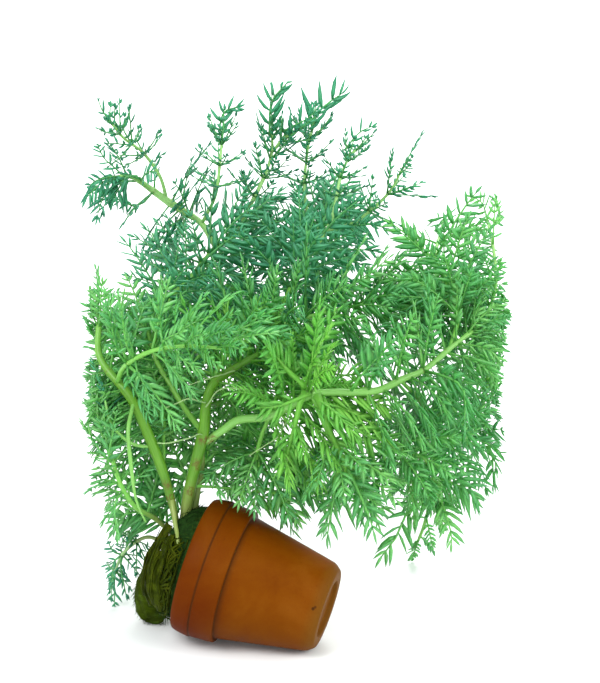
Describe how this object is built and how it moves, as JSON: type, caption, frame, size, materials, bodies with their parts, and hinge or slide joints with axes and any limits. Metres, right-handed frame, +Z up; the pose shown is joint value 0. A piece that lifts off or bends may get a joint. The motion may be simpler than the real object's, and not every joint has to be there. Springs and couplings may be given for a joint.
{
  "type": "water violet",
  "caption": "Bushy water plant with comb-like leaves along arching stems, its roots in a small terracotta pot that lies on its side.",
  "frame": {"origin": "middle of the object's box, at the level of the surface that the pot lies on", "axes": "+X to the right as seen in the picture, +Y away from the viewer, +Z up along the plant's height"},
  "size_m": [0.1814, 0.1752, 0.2114],
  "materials": {
    "terracotta": "matte",
    "root_ball": "matte",
    "moss": "matte",
    "withered": "matte",
    "leaf_green": "satin",
    "stem_green": "satin",
    "tip_green": "satin",
    "root_green": "satin"
  },
  "bodies": {
    "root": {"back_left_shoot": "leaf_green", "back_low_shoot": "leaf_green", "back_raft": "leaf_green", "centre_raft": "leaf_green", "centre_stem": "stem_green", "emergent_centre": "tip_green", "emergent_far": "tip_green", "emergent_left": "tip_green", "emergent_right": "tip_green", "emergent_small": "tip_green", "far_tuft": "tip_green", "floor_shoot": "leaf_green", "front_left_raft": "leaf_green", "hanging_shoot": "leaf_green", "inner_left_shoot": "leaf_green", "inner_shoot": "leaf_green", "left_arc": "root_green", "left_back_low_shoot": "leaf_green", "left_bush": "leaf_green", "left_root": "root_green", "left_stem": "stem_green", "low_leaf_shoot": "leaf_green", "low_left_shoot": "tip_green", "middle_shoot": "leaf_green", "moss_clump": "moss", "pale_shoot": "root_green", "pot": "terracotta", "right_branch": "stem_green", "right_low_shoot": "leaf_green", "right_raft": "leaf_green", "right_wall_shoot": "tip_green", "root_ball": "root_ball", "runner": "stem_green", "thin_stem": "stem_green", "upper_left_shoot": "tip_green", "withered_leaf_1": "withered", "withered_leaf_2": "withered", "withered_leaf_3": "withered"}
  },
  "joints": []
}
